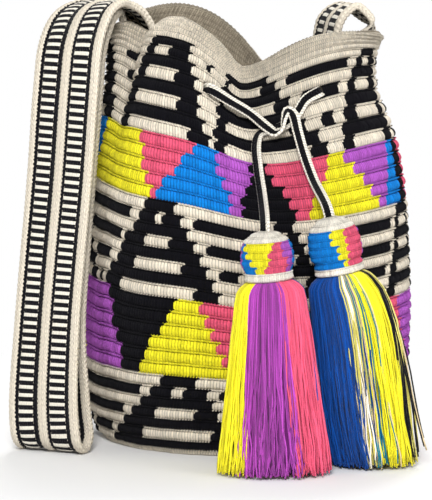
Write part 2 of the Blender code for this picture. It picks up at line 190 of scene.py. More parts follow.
roundStitches = 180
perStitch = 4    # columns of mesh
body = {
    "rounds": 39, "depth": 0.93, "baseDepth": 0.88, "thickness": 0.0034, "samples": 400, "slopeReach": 0.4,
    "floorGap": 0.0002, "seamGap": 0.0001, "innerRib": 0.0004, "innerStitch": 0.00025, "innerLast": 37.4,
    # painted shade: how much darker and warmer the cream yarn is painted on the inside of the wall, which lies
    # in shade
    "insideShade": (0.62, 0.59, 0.54),
    # tables by round, then dents: table, share of it, centre, spread to the left and to the right
    "width": [(0, 0.0915), (4, 0.0905), (6, 0.09), (8, 0.091), (10, 0.0955), (12, 0.099), (14, 0.102),
        (17, 0.105), (21, 0.1065), (28, 0.108), (32, 0.107), (36, 0.1035), (38, 0.099), (39, 0.094)],
    "shift": [(0, 0), (5, -0.004), (8, -0.0045), (12, 0), (16, 0.0012), (30, 0.0015), (39, 0)],
    "height": [(0, 0.2885), (4, 0.276), (12, 0.2134), (17, 0.172), (25, 0.107), (31, 0.058),
        (36, 0.019), (38, 0.0045), (39, 0)],
    "frontAngle": [(0, -4), (12, 5), (20, 9), (39, 9)],
    "frontDepth": [(0, 0.04), (6, 0.029), (12, 0.014), (18, 0.006), (26, 0.001), (32, 0), (39, 0)],
    "frontSag": [(0, 0.029), (4, 0.028), (12, 0.017), (17, 0.012), (25, 0.007), (31, 0.003),
        (36, 0), (39, 0)],
    "frontSpread": [(0, 14), (6, 18), (12, 26), (39, 30)],
    "backSag": [(0, 0.044), (6, 0.03), (12, 0.011), (18, 0.002), (24, 0), (39, 0)],
    "backDepth": [(0, 0.016), (6, 0.011), (12, 0.005), (18, 0.001), (24, 0), (39, 0)],
    "rightDrop": [(0, 0.013), (4, 0.0105), (12, 0.008), (17, 0.008), (25, 0.005), (31, 0), (39, 0)],
    "crease": [(0, 0.012), (4, 0.01), (10, 0.005), (16, 0), (39, 0)],
    "strapDip": [(0, 0.013), (4, 0.01), (10, 0.0045), (16, 0), (39, 0)],
    "rimLean": [(0, 1), (2, 0.55), (4, 0.2), (6, 0), (39, 0)],
    "climbLeft": [(0, 0), (4, 0.35), (12, 1.25), (17, 0.95), (25, 0.4), (31, 0), (39, 0)],
    "climbAll": [(0, 0), (17, 0), (25, 0.15), (28, -0.1), (31, -0.38), (35, -0.2), (39, 0)],
    "sideSwell": [(0, 0), (16, 0), (22, 0.003), (32, 0.0034), (37, 0.003), (39, 0)],
    "inward": [("backDepth", 1, 160, 30, 24), ("crease", 1, -58, 8, 9), ("rimLean", 0.019, -38, 20, 13),
        ("rimLean", 0.012, 36, 20, 30), ("rimLean", 0.006, -140, 40, 30), ("sideSwell", -1, -94, 22, 15)],
    "sag": [("backSag", 1, 155, 40, 27), ("crease", 0.9, -58, 7, 8), ("strapDip", 1, -90, 21, 21),
        ("rimLean", -0.008, -150, 34, 26)],
    "backAngle": 164, "eyeletRound": 7, "eyelets": [-9, 19, 55, 73, -68, -50],
}


def smooth(keys, at):
    xs = np.array([key[0] for key in keys], dtype=float)
    ys = np.array([key[1:] for key in keys], dtype=float)
    slopes = np.gradient(ys, xs, axis=0)
    at = np.clip(np.asarray(at, dtype=float), xs[0], xs[-1])
    left = np.clip(np.searchsorted(xs, at, side="right") - 1, 0, len(xs) - 2)
    span = xs[left + 1] - xs[left]
    t = ((at - xs[left]) / span)[..., None]
    span = span[..., None]
    value = (ys[left] * (2 * t ** 3 - 3 * t ** 2 + 1) + slopes[left] * span * (t ** 3 - 2 * t ** 2 + t)
             + ys[left + 1] * (3 * t ** 2 - 2 * t ** 3) + slopes[left + 1] * span * (t ** 3 - t ** 2))
    return value[..., 0] if ys.shape[1] == 1 else value


def bump(angle, centre, leftSpread, rightSpread):
    away = (angle - centre + 180.0) % 360.0 - 180.0
    return np.exp(-(away / np.where(away < 0, leftSpread, rightSpread)) ** 2)


def dents(kind, angle, row):
    return sum(share * smooth(body[table], row) * bump(angle, *place) for table, share, *place in body[kind])


def unit(vectors):
    return vectors / np.linalg.norm(vectors, axis=-1, keepdims=True)


def squared(ways, tangent):
    # the part of each way that is square to the line
    return ways - tangent * np.sum(ways * tangent, axis=1, keepdims=True)


def lengthAlong(points):
    return np.concatenate([[0.0], np.cumsum(np.linalg.norm(np.diff(points, axis=0), axis=1))])


def resample(want, along, line):
    return np.stack([np.interp(want, along, values) for values in line.T], axis=1)


def wallPoint(angle, row):
    turn = np.radians(angle)
    width = smooth(body["width"], row)
    depth = width * (body["depth"] + (body["baseDepth"] - body["depth"]) * np.clip((row - 20) / 19, 0, 1))
    front = smooth(body["frontAngle"], row)
    spread = smooth(body["frontSpread"], row)
    inward = (dents("inward", angle, row)
              + smooth(body["frontDepth"], row) * bump(angle, front, spread, spread + 10))
    sag = (dents("sag", angle, row) + smooth(body["rightDrop"], row) * (0.5 + 0.5 * np.sin(turn))
           + smooth(body["frontSag"], row) * bump(angle, front, spread * 0.95, spread * 0.6 + 20))
    x = smooth(body["shift"], row) + (width - inward) * np.sin(turn)
    y = (inward - depth) * np.cos(turn)
    return np.stack([x, y, np.maximum(smooth(body["height"], row) - sag, 0.0)], axis=-1)


def worked(angle, row):
    # the rounds climb towards the left side, where the strap lifts the bag
    climb = smooth(body["climbLeft"], row) * bump(angle, -88, 60, 42)
    return row - climb - smooth(body["climbAll"], row)


def wallRound(row, stitches):
    half = roundStitches / 2
    wrapped = (np.asarray(stitches, dtype=float) + half) % roundStitches - half
    result = np.zeros((len(wrapped), 3))
    for pick, far in ((wrapped >= 0, body["backAngle"]), (wrapped < 0, body["backAngle"] - 360.0)):
        turns = np.linspace(float(smooth(body["frontAngle"], row)), far, body["samples"])
        line = wallPoint(turns, worked(turns, np.full(len(turns), float(row))))
        along = lengthAlong(line)
        result[pick] = resample(np.abs(wrapped[pick]) / half * along[-1], along, line)
    return result


def wallGrid(rows, stitchRows):
    points, normals = [], []
    reach = body["slopeReach"]
    for row, stitches in zip(rows, stitchRows):
        stitches = np.asarray(stitches, dtype=float)
        points.append(wallRound(row, stitches))
        down = wallRound(min(row + reach, body["rounds"]), stitches) - wallRound(max(row - reach, 0), stitches)
        side = wallRound(row, stitches + reach) - wallRound(row, stitches - reach)
        normals.append(unit(np.cross(side, -down)))
    return np.array(points), np.array(normals)


def wallSpot(stitch, row, lift):
    points, normals = wallGrid([row], [[stitch]])
    return points[0, 0] + normals[0, 0] * lift


# grids laid along a surface

weld = 0.00001


class Editing:
    # a mesh opened as bmesh and written back at the end
    def __init__(self, mesh):
        self.mesh = mesh

    def __enter__(self):
        self.bm = bmesh.new()
        self.bm.from_mesh(self.mesh)
        return self.bm

    def __exit__(self, *problem):
        self.bm.to_mesh(self.mesh)
        self.bm.free()


def openEdges(bm):
    return [edge for edge in bm.edges if len(edge.link_faces) == 1]


def cornerVerts(mesh):
    corners = np.zeros(len(mesh.loops), dtype=int)
    mesh.loops.foreach_get("vertex_index", corners)
    return corners.reshape(-1, 4)


def gridMesh(name, points, maps, closeAlong=False):
    # closed across; maps gives the yarnMap of a face's corners from their rows and columns
    points = np.concatenate([points, points[:, :1]], axis=1)
    if closeAlong:
        points = np.concatenate([points, points[:1]], axis=0)
    rowCount, columnCount = points.shape[:2]
    mesh = bpy.data.meshes.new(name)
    with Editing(mesh) as bm:
        bmesh.ops.create_grid(bm, x_segments=columnCount - 1, y_segments=rowCount - 1, size=1.0)
    flat = np.zeros(len(mesh.vertices) * 3)
    mesh.vertices.foreach_get("co", flat)
    flat = flat.reshape(-1, 3)
    columns = np.rint((flat[:, 0] + 1) / 2 * (columnCount - 1)).astype(int)
    rows = np.rint((flat[:, 1] + 1) / 2 * (rowCount - 1)).astype(int)
    mesh.vertices.foreach_set("co", points[rows, columns].ravel())
    corners = cornerVerts(mesh)
    cornerRows, cornerColumns = rows[corners], columns[corners]
    cells = np.stack([cornerRows.min(axis=1), cornerColumns.min(axis=1)], axis=1)
    layer = mesh.uv_layers.new(name="yarnMap")
    layer.data.foreach_set("uv", maps(cornerRows, cornerColumns).astype(np.float32).ravel())
    return mesh, cells


def stitchMap(rowMap, farJump):
    # of a mesh closed along too: a face that spans more rows than farJump keeps to the first of them
    def place(cornerRows, cornerColumns):
        down = rowMap[np.where(cornerRows >= len(rowMap), 0, cornerRows)]
        top = down.min(axis=1, keepdims=True)
        return np.stack([cornerColumns / perStitch, np.where(down - top > farJump, top, down)], axis=-1)

    return place


def paint(mesh, name, faceColours):
    layer = mesh.color_attributes.new(name, "FLOAT_COLOR", "CORNER")
    values = np.ones((len(faceColours), 4, 4), dtype=np.float32)
    values[:, :, :3] = faceColours[:, None, :]
    layer.data.foreach_set("color", values.ravel())


def addPiece(name, mesh, material, node, merge=True):
    with Editing(mesh) as bm:
        if merge:
            bmesh.ops.remove_doubles(bm, verts=bm.verts, dist=weld)
        bmesh.ops.recalc_face_normals(bm, faces=bm.faces)
        for face in bm.faces:
            face.smooth = True
    mesh.materials.append(material)
    piece = addObject(name, mesh)
    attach(piece, "root")
    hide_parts(node)
    print(name, len(mesh.polygons), "faces")
    return piece


# the pattern of the rounds

# Black triangles by both borders: stitch of the left border at the top and the last row, then of the right
# border, then the black left standing beside each cream bar. Cream triangles keep the "beside" margins.
triangles = {
    "top": {"rows": (4, 12), "apex": 7.7, "foot": 20, "beside": (3.6, 3.2),
        "fronts": [(-44, -50, -36, -32.8, 3, 4), (-21.5, -30.1, -13.9, -9.4, 3, 3.9),
        (-4.4, -8.2, 6.9, 16.2, 1.6, 4.1), (33.7, 19.4, 42, 39.5, 3, 4.5)]},
    "middle": {"rows": (17, 25), "apex": 4.5, "foot": 19, "beside": (2.1, 1.9),
        "fronts": [(-50, -58, -45, -35.2, 3, 3.4), (-20.4, -30.3, -15.4, -9.3, 3.3, 3.8),
        (0.5, -6.8, 4.5, 10.5, 2.4, 3.2), (33.2, 27, 41, 47, 2.4, 3.2)]},
    "bottom": {"rows": (31, 38), "apex": 6, "foot": 22, "beside": (2.5, 2.3),
        "fronts": [(-54, -62, -48, -39.5, 3, 3.4), (-19.1, -31.3, -12.8, -6, 4.4, 3.9),
        (1.5, -2.5, 7, 14, 2.6, 3.4), (31, 22, 38, 46, 2.6, 3.4)]},
}

# Each coloured band, "ends": colour, right end at the top row and at the bottom row, from left to right.
# Round the back, triangles of "ups" alternate with triangles of "downs".
backNarrow = 4.5
bands = {
    "upper": {"rows": (12, 17), "ends": [("pink", -47, -45), ("blue", -35, -40), ("yellow", -22, -20.1),
        ("pink", -12.5, -18.8), ("blue", -8.5, -6.3), ("purple", -2.2, -4.7), ("black", 1, 5.5),
        ("pink", 14.9, 8.2), ("yellow", 19.1, 26.2), ("purple", 33.7, 29.4), ("blue", 36.6, 37.5),
        ("black", 41.5, 43), ("pink", 53, 48)],
        "ups": ("blue", "yellow", "black"), "downs": ("pink", "purple"), "spacing": 14},
    "lower": {"rows": (25, 31),
        "ends": [("blue", -43, -43.5), ("purple", -29.6, -26.6), ("black", -16.6, -23),
        ("yellow", -12.4, -7.8), ("pink", 5.8, 0.5), ("blue", 10, 15.5), ("black", 26.9, 22.5),
        ("pink", 31, 37), ("purple", 49, 44)],
        "ups": ("black", "yellow", "blue", "pink"), "downs": ("yellow", "blue", "purple", "black"),
        "spacing": 19.5},
}


def triangleMarks(settings, share):
    fronts = settings["fronts"]
    marks = [(left + (leftLow - left) * share, right + (rightLow - right) * share,
              before * (0.75 + 0.55 * share), after)
             for left, leftLow, right, rightLow, before, after in fronts]
    # three more round the back, evenly between the last of the front and the first
    start = (fronts[-1][0] + fronts[-1][2]) / 2
    finish = (fronts[0][0] + fronts[0][2]) / 2 + roundStitches
    half = (settings["apex"] + (settings["foot"] - settings["apex"]) * share) / 2
    for index in (1, 2, 3):
        middle = start + (finish - start) * index / 4
        marks.append((middle - half, middle + half, 3.0, 3.6))
    return marks


def shareDown(settings, row):
    first, last = settings["rows"]
    return (row - first) / (last - 1 - first)


def triangleYarn(settings, stitch, row):
    barredRow = (row - settings["rows"][0]) % 2 == 1
    marks = triangleMarks(settings, shareDown(settings, row))
    stitch = (stitch - marks[0][0]) % roundStitches + marks[0][0]
    before, after = settings["beside"]
    following = [mark[0] for mark in marks[1:]] + [marks[0][0] + roundStitches]
    for (left, right, leftMargin, rightMargin), nextLeft in zip(marks, following):
        if left <= stitch < right:
            return "cream" if barredRow and left + leftMargin <= stitch < right - rightMargin else "black"
        if right <= stitch < nextLeft:
            return "black" if barredRow and right + before <= stitch < nextLeft - after else "cream"
    return "cream"


def bandYarn(settings, stitch, row):
    share = shareDown(settings, row)
    ends, ups, downs = settings["ends"], settings["ups"], settings["downs"]
    start = ends[0][1] + (ends[0][2] - ends[0][1]) * share
    stitch = (stitch - start) % roundStitches + start
    for colour, top, low in ends[1:]:
        if stitch < top + (low - top) * share:
            return colour
    lastTop, lastLow = ends[-1][1:]
    room = roundStitches + ends[0][1] - lastTop
    pitch = room / max(1, round(room / settings["spacing"]))
    index = int((stitch - lastTop) // pitch)
    within = stitch - lastTop - index * pitch
    drift = (lastTop - lastLow) * share
    if within < -drift:
        return downs[(index - 1) % len(downs)]
    if within < backNarrow + drift:
        return ups[index % len(ups)]
    if within > pitch - drift:
        return ups[(index + 1) % len(ups)]
    return downs[index % len(downs)]


def yarnName(stitch, row):
    for zones, rule in ((triangles, triangleYarn), (bands, bandYarn)):
        for settings in zones.values():
            if settings["rows"][0] <= row < settings["rows"][1]:
                return rule(settings, stitch, row)
    return "cream"


lean = 0.1      # stitches that each round steps to the left of the one above
yarnTable = np.array([[yarns[yarnName(stitch + 0.5 - lean * (row + 0.5), row)]
                       for stitch in range(roundStitches)] for row in range(body["rounds"])])
print("pattern worked out for", yarnTable.shape[0], "rounds")


# relief of the stitches

stitchWork = {
    # down one round: share of the round, height, how strongly the legs and the chain show
    "steps": [(0, -0.00055, 0.2, 0), (0.05, 0.0007, 0, 1), (0.13, 0.001, 0, 1),
        (0.2, -0.0003, 0.3, 0.3), (0.27, 0.0004, 0.8, 0), (0.38, 0.0011, 1, 0),
        (0.55, 0.0016, 1, 0), (0.73, 0.0017, 1, 0), (0.9, 0.001, 1, 0)],
    "legDepth": 0.00085, "chainTwist": 0.00035, "unevenness": 0.00026, "groove": 0.0011,
    # how far a colour change stands to the right at each step, in stitches
    "edgeShift": [0.55, 0.8, 0.8, 0.55, 0.3, 0.05, 0, 0.05, 0.3],
}
changes = np.any(yarnTable != np.roll(yarnTable, 1, axis=1), axis=2)
dice = np.random.RandomState(7)
stitchLift = dice.uniform(-1, 1, (body["rounds"] + 1, roundStitches))


def outerRow(roundIndex, step, phases, grooved=True):
    height, legs, chain = stitchWork["steps"][step][1:]
    cell = np.floor(phases).astype(int) % roundStitches
    legPhase = (phases * 2) % 1.0
    crest = np.sin(math.pi * legPhase) ** 0.8
    seam = np.where((phases % 1.0) < 0.01, 0.0, np.where(legPhase < 0.01, 0.3, 1.0))
    lift = height - legs * stitchWork["legDepth"] * (1 - crest * seam)
    lift = lift + chain * stitchWork["chainTwist"] * np.cos(4 * math.pi * phases + step * math.pi)
    nearest = np.rint(phases).astype(int)
    changed = changes[min(roundIndex, body["rounds"] - 1), nearest % roundStitches]
    if grooved:
        lift = lift - changed * (1 - chain) * stitchWork["groove"] * np.exp(-((phases - nearest) / 0.3) ** 2)
    lift = lift + stitchWork["unevenness"] * stitchLift[roundIndex, cell] * (0.3 + legs)
    lift = lift + 0.0003 * np.sin(phases * 0.7 + roundIndex * 2.1)
    return lift + 0.0002 * np.sin(phases * 1.9 - roundIndex * 1.3)


def cutEyelets(mesh, cells, rows):
    # both skins open round each eyelet, and the hole's side joins them
    cellRows = np.minimum(cells[:, 0], len(rows) - 2)
    middle = (rows[cellRows] + rows[cellRows + 1]) / 2
    phase = (cells[:, 1] + 0.5) / perStitch - lean * middle
    high = (np.abs(middle - body["eyeletRound"] - 0.5) < 0.42) & (cells[:, 0] < len(rows) - 1)
    with Editing(mesh) as bm:
        bm.faces.ensure_lookup_table()
        tints = [bm.loops.layers.float_color[name] for name in ("yarn", "yarnAbove")]
        flat = bm.loops.layers.uv["yarnMap"]
        openings = []
        for eyelet in body["eyelets"]:
            away = np.abs((phase - eyelet + roundStitches / 2) % roundStitches - roundStitches / 2)
            picked = [bm.faces[index] for index in np.flatnonzero(high & (away < 1.0))]
            openings.append((picked, {vert for face in picked for vert in face.verts}))
        for picked, around in openings:
            bmesh.ops.delete(bm, geom=picked, context="FACES")
            left = {vert for vert in around if vert.is_valid}
            rim = {edge for vert in left for edge in vert.link_edges if len(edge.link_faces) == 1
                   and edge.verts[0] in left and edge.verts[1] in left}
            for face in bmesh.ops.bridge_loops(bm, edges=list(rim))["faces"]:
                for corner in face.loops:
                    beside = [other for other in corner.vert.link_loops if other.face is not face]
                    for layer in tints:
                        corner[layer] = beside[0][layer]
                    corner[flat].uv = beside[0][flat].uv


def wallPiece(name, first, last, material):
    # the outside from the top round to the bottom one, then the inside back up
    columns = np.arange(roundStitches * perStitch) / perStitch
    bottom = last - body["seamGap"]
    rows, lifts = [], []
    for roundIndex in range(first, last):
        for step, settings in enumerate(stitchWork["steps"]):
            rows.append(roundIndex + settings[0])
            lifts.append(outerRow(roundIndex, step, columns))
    rows.append(bottom)
    lifts.append(outerRow(last, 0, columns))
    outerCount = len(rows)
    fine = 3 if last <= 12 else 2
    for roundIndex in range(last - 1, first - 1, -1):
        for step in range(fine, 0, -1):
            row = roundIndex + step / fine
            if last < body["rounds"] or row <= body["innerLast"]:
                rows.append(min(row, bottom))
                rib = body["innerRib"] * math.sin(math.pi * (step / fine % 1.0))
                lifts.append(-body["thickness"] - rib + body["innerStitch"] * np.cos(2 * math.pi * columns))
    rows.append(first)
    lifts.append(np.full(len(columns), 0.0002 - body["thickness"]))
    rows, lifts = np.array(rows), np.array(lifts)
    phases = columns[None, :] - lean * rows[:, None]
    points, normals = wallGrid(np.clip(rows, 0, body["rounds"]), phases)
    points = points + normals * lifts[:, :, None]
    points[:, :, 2] = np.maximum(points[:, :, 2], body["floorGap"])
    rowMap = rows.copy()
    rowMap[outerCount:] += 100
    colourRows = np.clip(np.floor(rows + 1e-6).astype(int), 0, body["rounds"] - 1)
    if first == 0:
        rimTop = (points[0] + points[-1]) / 2 + normals[0] * 0.0001 + np.array([0, 0, 0.0011])
        rimTop[:, 2] += 0.0003 * np.cos(2 * math.pi * columns)
        points = np.concatenate([points, rimTop[None]])
        rowMap = np.append(rowMap, 100)
        colourRows = np.append(colourRows, 0)
    if last == body["rounds"]:
        # the base: rounds that close on the middle, underneath and above
        shares = np.linspace(1.0, 0.0, 16)[1:]
        extra = len(shares)
        edge, innerEdge = (points[index] * np.array([1, 1, 0]) for index in (outerCount - 1, outerCount))
        under = [edge * share + np.array([0, 0, 0.0003 + 0.0004 * (index % 2)])
                 for index, share in enumerate(shares)]
        over = [innerEdge * share + np.array([0, 0, body["thickness"] + 0.0004 * (index % 2)])
                for index, share in enumerate(shares[::-1])]
        points = np.concatenate([points[:outerCount], np.array(under), np.array(over), points[outerCount:]])
        rowMap = np.concatenate([rowMap[:outerCount], 39 + np.arange(1, extra + 1) * 0.8,
                                 139 + np.arange(extra, 0, -1) * 0.8, rowMap[outerCount:]])
        colourRows = np.concatenate([colourRows[:outerCount], np.full(2 * extra, 38), colourRows[outerCount:]])

    mesh, cells = gridMesh(name, points, stitchMap(rowMap, 50), closeAlong=True)
    cellRows = np.minimum(cells[:, 0], len(colourRows) - 1)
    rowsOf = colourRows[cellRows]
    phase = (cells[:, 1] + 0.5) / perStitch
    inside = cellRows >= outerCount - 1
    step = cellRows % len(stitchWork["steps"])
    chain = (step < 3) & ~inside
    shifts = np.where(inside, 0.0, np.array(stitchWork["edgeShift"])[step])
    colours = yarnTable[rowsOf, np.floor(phase - shifts).astype(int) % roundStitches]
    above = yarnTable[np.maximum(rowsOf - 1, 0), np.floor(phase).astype(int) % roundStitches]
    above = np.where((chain & (rowsOf > 0))[:, None], above, colours)
    # painted shade: the inside faces are painted in the cream yarn, darkened and warmed for the shade inside
    # the bag
    insideShade = np.array(yarns["cream"]) * np.array(body["insideShade"])
    for layer, values in (("yarn", colours), ("yarnAbove", above)):
        paint(mesh, layer, np.where(inside[:, None], insideShade, values))
    if first <= body["eyeletRound"] < last:
        cutEyelets(mesh, cells, rows)
    return addPiece(name, mesh, material, "bag_body")


def wallYarn(name, depth):
    kit = Kit(name)
    place, across, down = kit.mapped("yarnMap")
    turn = kit.fract(down)
    sway = kit.grain(place, 1.3, 1.1, 1) * 0.5 - 0.25
    tooth = abs(kit.fract(across * 2 + sway * abs(turn - 0.2)) - 0.5)
    # where one round changes colour, its chain is toothed with the colour above
    base = kit.blend(kit.attribute("yarn"), kit.attribute("yarnAbove"), turn < 0.075 - 0.15 * tooth)
    floors = {0: kit.maths("FLOOR", across * 2), 1: kit.maths("FLOOR", down)}
    legCell = kit.node("ShaderNodeCombineXYZ", None, floors)
    tone = kit.node("ShaderNodeTexWhiteNoise", {"noise_dimensions": "2D"}, {"Vector": legCell})
    fibre = kit.grain(place, 7.0, 3.4, 4)
    fleck = kit.grain(place, 3.1, 4.7, 1)
    cloud = kit.grain(place, 0.15, 0.3, 2)
    # painted shade: the gaps between legs, the hole line under each chain and the foot of each round are
    # painted darker, and the chain lighter and darker along its plies; depth sets how strong this painted shade
    # is
    dash = kit.soft(kit.wave(across + 0.1), -0.9, 0.5)
    line = 1 - kit.soft(abs(turn - 0.215), 0.055, 0.015) * (0.45 + 0.55 * dash)
    plied = kit.soft(kit.wave(across * 2 - turn * 6), -0.9, 0.2)
    gap = kit.soft(tooth, 0.5, 0.3)
    leg = 0.52 + 0.5 * gap
    stitch = kit.maths("MULTIPLY_ADD", turn < 0.19, (0.7 + 0.34 * plied) - leg, leg)
    low = kit.soft(abs(turn - 0.5), 0.5, 0.43)
    shade = 1 - depth * (1 - (0.34 + 0.66 * line) * stitch * (0.55 + 0.45 * low))
    amount = shade * (0.88 + 0.28 * tone) * (0.74 + 0.56 * fibre) * (0.8 + 0.44 * fleck) * (0.95 + 0.12 * cloud)
    twist = kit.wave(across * 4 + turn * 9)
    height = twist * 0.22 + fibre * 0.9 + gap * 0.6 + line * 0.6
    return kit.cloth(kit.scaled(base, amount), height, 0.92, 0.0006, 0.025)


# shoulder strap

strap = {
    "halfWidth": 0.026, "halfThickness": 0.0021, "rung": 0.00525, "knit": 0.0036, "step": 0.00086,
    "seatGap": 0.0003, "toMiddle": 0.0033, "rimStitch": 0.0037, "spacing": 0.012, "sharpness": 0.02,
    "roughness": 0.05,
    "seams": {-1: -44.6, 1: 42.5}, "endRows": ((5.4, 0.76), (4, 0.76), (2.6, 0.76), (1.2, 0.77)),
    # x, y, z, heading of the width, share of the width
    "route": [(-0.0812, -0.003, 0.2785, -90, 0.77), (-0.0862, -0.0032, 0.288, -86, 0.78),
        (-0.095, -0.006, 0.289, -68, 0.88), (-0.1055, -0.0165, 0.2845, -45, 1),
        (-0.115, -0.027, 0.266, -31, 1), (-0.1185, -0.032, 0.235, -28, 1), (-0.1255, -0.039, 0.15, -28, 1),
        (-0.13, -0.048, 0.08, -28, 1), (-0.1275, -0.05, 0.029, -26, 1),
        (-0.1262, -0.054, 0.0085, -25, 1), (-0.129, -0.064, 0.0031, -25, 1),
        (-0.1325, -0.073, 0.0085, -25, 1), (-0.1345, -0.0735, 0.029, -26, 1),
        (-0.1325, -0.068, 0.08, -27, 0.955), (-0.129, -0.062, 0.125, -28, 0.955),
        (-0.124, -0.058, 0.18, -28, 0.955), (-0.1195, -0.056, 0.24, -28, 0.955),
        (-0.116, -0.0515, 0.27, -30, 0.955), (-0.108, -0.036, 0.289, -42, 1),
        (-0.0955, -0.019, 0.2945, -60, 1), (-0.078, -0.0085, 0.2895, -72, 1),
        (-0.061, -0.001, 0.266, -82, 1), (-0.041, 0.005, 0.23, -90, 1),
        (-0.007, 0.006, 0.206, -92, 1), (0.026, 0.001, 0.212, -86, 1),
        (0.0455, 0, 0.24, -80, 1), (0.0525, 0, 0.267, -76, 1),
        (0.0575, 0.0005, 0.285, -75, 1), (0.069, 0.0025, 0.2925, -78, 0.97), (0.08, 0.004, 0.285, -84, 0.92)],
    # place across the band, height as a share of the half thickness
    "relief": [(-1, 0), (-0.97, 0.75), (-0.9, 1.25), (-0.8, 1.2), (-0.755, 0.62), (-0.7, 0.6), (-0.66, 0.86),
        (-0.5, 0.98), (-0.33, 0.88), (-0.25, 0.6), (-0.15, 0.62), (-0.1, 1.02), (0, 1.16), (0.1, 1),
        (0.14, 0.6), (0.19, 0.6), (0.24, 0.88), (0.42, 0.98), (0.61, 0.86), (0.67, 0.6), (0.75, 0.62),
        (0.8, 1.2), (0.89, 1.28), (0.97, 0.78), (1, 0)],
}


def curveLine(route, spacing, sharpness):
    # evenly spaced stations along the route, closer together where it turns sharply
    route = np.array(route, dtype=float)
    along = np.concatenate([[0.0], np.cumsum(np.sqrt(np.diff(lengthAlong(route[:, :3]))))])
    keys = [(at, *place) for at, place in zip(along, route)]
    dense = smooth(keys, np.linspace(0, along[-1], len(route) * 60))
    ways = np.diff(dense[:, :3], axis=0)
    steps = np.linalg.norm(ways, axis=1)
    turning = np.append(0.0, np.linalg.norm(np.diff(unit(ways), axis=0), axis=1) / steps[1:])
    turning = np.convolve(np.pad(turning, 15, mode="edge"), np.ones(31) / 31, mode="valid")
    run = np.concatenate([[0.0], np.cumsum(steps * (1 + sharpness * turning))])
    want = np.linspace(0, run[-1], max(2, round(run[-1] / spacing)) + 1)
    return resample(want, run, dense), steps.sum()


def strapPiece(material):
    front = np.interp(np.linspace(0, 1, 37), np.linspace(0, 1, 13),
                      [-1.0, -0.93, -0.8, -0.7, -0.5, -0.28, -0.12, 0.08, 0.3, 0.58, 0.72, 0.9, 1.0])
    column = np.concatenate([np.arange(len(front)), np.arange(len(front))[1:-1][::-2]])
    places = front[column]
    sides = np.where(np.arange(len(column)) < len(front), 1.0, -1.0)
    line = curveLine(strap["route"], strap["spacing"], strap["sharpness"])[0]
    tangent = unit(np.gradient(line[:, :3], axis=0))
    heading = np.radians(line[:, 3])
    width = unit(squared(np.stack([np.cos(heading), np.sin(heading), 0 * heading], axis=1), tangent))
    faceWay = np.cross(width, tangent)
    half = strap["halfWidth"]
    bases = [spot[:3] + way * (front * half * spot[4])[:, None] for spot, way in zip(line, width)]
    ways = [np.repeat(way[None], len(front), axis=0) for way in faceWay]
    for side in (-1, 1):
        rings, ringWays = [], []
        for row, share in strap["endRows"]:
            stitches = strap["seams"][side] - side * front * half * share / strap["rimStitch"]
            points, normals = wallGrid([row], [stitches])
            rings.append(points[0] - normals[0] * (body["thickness"] + strap["seatGap"] + strap["toMiddle"]))
            ringWays.append(normals[0])
        if side < 0:
            bases, ways = rings + bases, ringWays + ways
        else:
            bases, ways = bases + rings[::-1], ways + ringWays[::-1]
    bases, ways = np.array(bases), np.array(ways)
    along = lengthAlong(bases[:, len(front) // 2])
    want = np.linspace(0, along[-1], round(along[-1] / strap["step"]) + 1)
    keys = [(at, *base.ravel(), *way.ravel()) for at, base, way in zip(along, bases, ways)]
    dense = smooth(keys, want).reshape(len(want), 2, len(front), 3)
    base, way = dense[:, 0], unit(dense[:, 1])
    rungs = ((places > -0.7) & (places < -0.28)) | ((places > 0.16) & (places < 0.6))
    knit = (places < -0.76) | (places > 0.68) | ((places > -0.17) & (places < 0.08))
    rung, loop = want[:, None] / strap["rung"], want[:, None] / strap["knit"]
    lift = np.interp(places, *zip(*strap["relief"]))[None, :]
    lift = lift + np.where(rungs, 0.16 * np.cos(2 * math.pi * (rung - 0.28)), 0.0)
    lift = lift + np.where(knit, 0.13 * np.cos(2 * math.pi * (loop + np.abs(places) * 6.0)), 0.0)
    lift = lift + strap["roughness"] * dice.uniform(-1, 1, lift.shape)
    points = base[:, column] + way[:, column] * (lift * sides * strap["halfThickness"])[:, :, None]
    print("strap length", round(float(along[-1]), 3))
    return bandPiece("shoulder_band", points, places, rung[:, 0], 0 * want, material, "shoulder_strap")


def closeRims(mesh):
    with Editing(mesh) as bm:
        bmesh.ops.remove_doubles(bm, verts=bm.verts, dist=weld)
        bmesh.ops.holes_fill(bm, edges=openEdges(bm), sides=0)


def bandPiece(name, points, across, along, bias, material, node):
    # yarnMap: place across the section plus the station's bias, then the run along the band
    def place(cornerRows, cornerColumns):
        places = np.append(across, across[0])[cornerColumns] + bias[cornerRows]
        return np.stack([places, along[cornerRows]], axis=-1)

    mesh = gridMesh(name, points, place)[0]
    closeRims(mesh)
    return addPiece(name, mesh, material, node)


